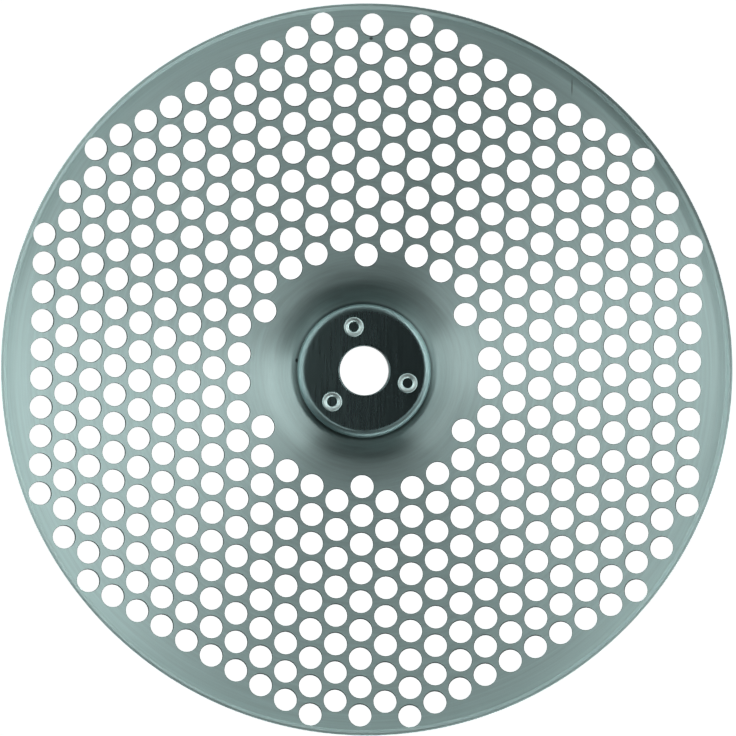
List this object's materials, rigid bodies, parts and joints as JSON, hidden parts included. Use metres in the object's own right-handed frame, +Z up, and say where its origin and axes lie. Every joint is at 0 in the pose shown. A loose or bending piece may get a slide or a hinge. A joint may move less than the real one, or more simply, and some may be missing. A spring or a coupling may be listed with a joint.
{
  "type": "food mill sieve disc",
  "caption": "Shallow dished stainless sieve disc with round holes, a turned-up lip and a riveted hub washer bored for a crank spindle.",
  "frame": {"origin": "on the disc's axis, at the underside of the rivet heads that it stands on", "axes": "+Z up along the axis, out of the concave side; +Y along one row of sieve holes to within a degree, +X across it"},
  "size_m": [0.126, 0.126, 0.0128],
  "materials": {
    "sieve_sheet": "satin stainless sheet, brushed in circles",
    "hub_plate": "bright rolled stainless plate with a straight grain",
    "rivet_steel": "plain bright stainless, rolled over"
  },
  "bodies": {
    "root": {"sieve_disc": "sieve_sheet", "hub_washer": "hub_plate", "hub_rivets": "rivet_steel"}
  },
  "joints": []
}
